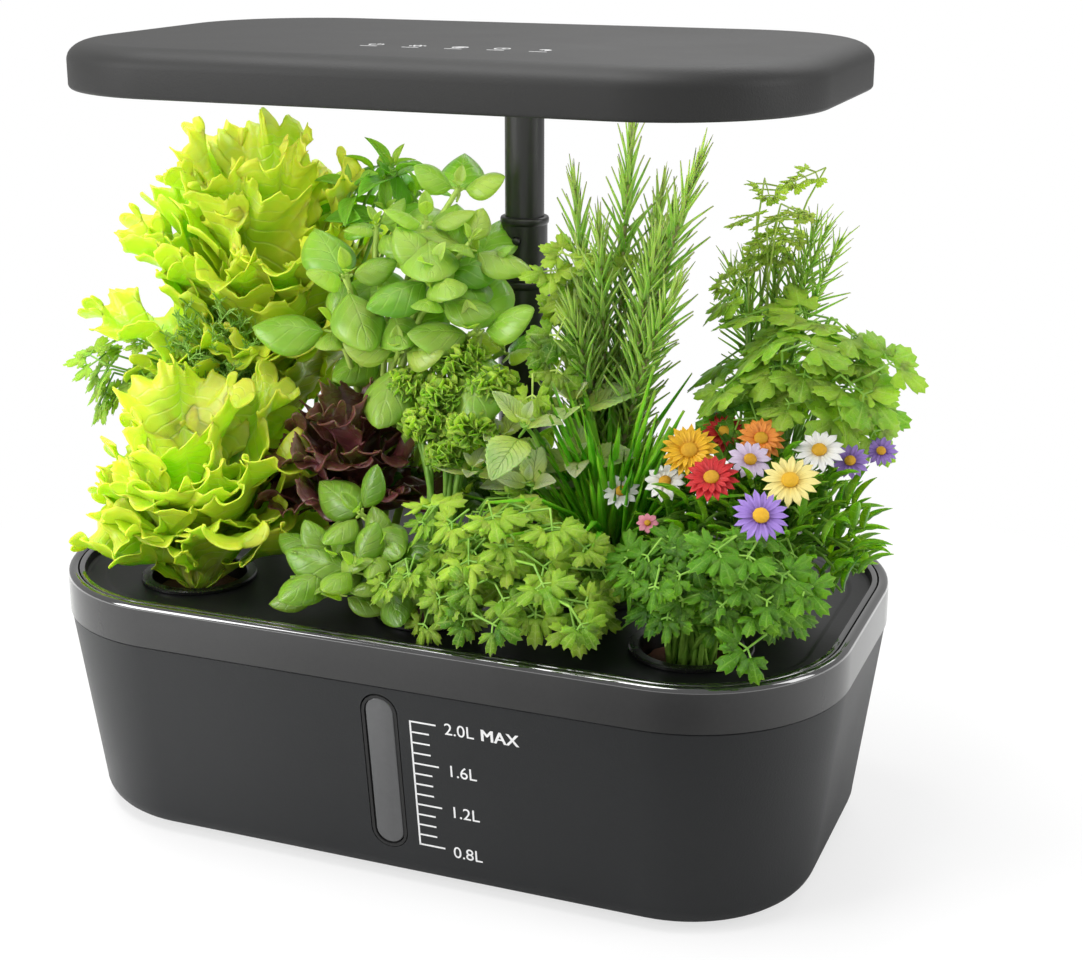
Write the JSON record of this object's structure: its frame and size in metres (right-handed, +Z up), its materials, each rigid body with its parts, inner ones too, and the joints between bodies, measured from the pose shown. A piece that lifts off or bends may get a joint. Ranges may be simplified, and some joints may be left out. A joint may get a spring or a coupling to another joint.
{
  "type": "countertop hydroponic garden",
  "caption": "Countertop hydroponic garden: water tank with level window, lift-off deck with planted pods, telescopic mast and LED light head over herbs, lettuces and flowers.",
  "frame": {"origin": "on the floor under the middle of the tank", "axes": "+X to the right along the tank, +Z up, the level window faces -Y"},
  "size_m": [0.2825, 0.1758, 0.25],
  "materials": {
    "charcoal_plastic": "matte, finely textured",
    "rim_plastic": "semi-gloss",
    "mast_metal": "satin black",
    "window_plastic": "smoked, satin",
    "black_rubber": "matt",
    "grow_medium": "rough peat",
    "bright_steel": "bright",
    "circuit_board": "white solder mask",
    "pump_plastic": "satin",
    "light_green_leaf": "living leaf",
    "green_leaf": "living leaf",
    "grey_green_leaf": "living leaf",
    "red_leaf": "living leaf",
    "flower": "petals"
  },
  "bodies": {
    "root": {"reservoir_tank": "charcoal_plastic", "rim_band": "rim_plastic", "level_window": "window_plastic", "window_seal": "black_rubber", "foot_front_left": "black_rubber", "foot_front_right": "black_rubber", "foot_rear_left": "black_rubber", "foot_rear_right": "black_rubber", "pump_body": "pump_plastic", "pump_cover": "pump_plastic", "pump_riser": "pump_plastic"},
    "pump_impeller": {"pump_impeller": "pump_plastic"},
    "deck": {"planting_deck": "charcoal_plastic", "filler_hinge_pin": "bright_steel", "pod_basket_1": "charcoal_plastic", "pod_basket_2": "charcoal_plastic", "pod_basket_3": "charcoal_plastic", "pod_basket_4": "charcoal_plastic", "pod_basket_5": "charcoal_plastic", "pod_basket_6": "charcoal_plastic", "pod_basket_7": "charcoal_plastic", "grow_sponge_1": "grow_medium", "grow_sponge_2": "grow_medium", "grow_sponge_3": "grow_medium", "grow_sponge_4": "grow_medium", "grow_sponge_5": "grow_medium", "grow_sponge_6": "grow_medium", "grow_sponge_7": "grow_medium", "mast_socket": "mast_metal", "mast_locknut": "charcoal_plastic", "lettuce_front_left": "light_green_leaf", "lettuce_back_left": "light_green_leaf", "red_lettuce": "red_leaf", "dill_left": "green_leaf", "dill_right": "green_leaf", "basil_back": "green_leaf", "basil_front": "green_leaf", "thai_basil": "green_leaf", "curly_parsley": "green_leaf", "flat_parsley": "green_leaf", "parsley_right": "green_leaf", "mint": "green_leaf", "rosemary": "grey_green_leaf", "chives": "green_leaf", "coriander": "green_leaf", "daisies": "flower"},
    "filler_flap": {"filler_flap": "charcoal_plastic"},
    "mast_sleeve": {"mast_sleeve": "mast_metal"},
    "mast_snap_button": {"mast_snap_button": "mast_metal"},
    "lamp": {"mast_tube": "mast_metal", "lamp_collar": "mast_metal", "lamp_cover": "charcoal_plastic", "lamp_tray": "charcoal_plastic", "led_board": "circuit_board", "touch_board": "circuit_board", "power_inlet": "mast_metal"}
  },
  "joints": [
    {"name": "impeller_spin", "type": "hinge", "parent": "root", "child": "pump_impeller", "pos_m": [0, 0.01, 0.0155], "axis": [0, 1, 0], "continuous": true},
    {"name": "deck_lift", "type": "slide", "parent": "root", "child": "deck", "axis": [0, 0, 1], "range_m": [0, 0.07]},
    {"name": "filler_flap_hinge", "type": "hinge", "parent": "deck", "child": "filler_flap", "pos_m": [0.04, 0.0541, 0.08], "axis": [-1, 0, 0], "range_deg": [0, 95]},
    {"name": "sleeve_slide", "type": "slide", "parent": "deck", "child": "mast_sleeve", "axis": [0, 0, 1], "range_m": [0, 0.05]},
    {"name": "snap_button_press", "type": "slide", "parent": "mast_sleeve", "child": "mast_snap_button", "axis": [0, 1, 0], "range_m": [0, 0.0012], "stiffness_N_per_m": 400},
    {"name": "lamp_slide", "type": "slide", "parent": "mast_sleeve", "child": "lamp", "axis": [0, 0, 1], "range_m": [0, 0.06]}
  ]
}
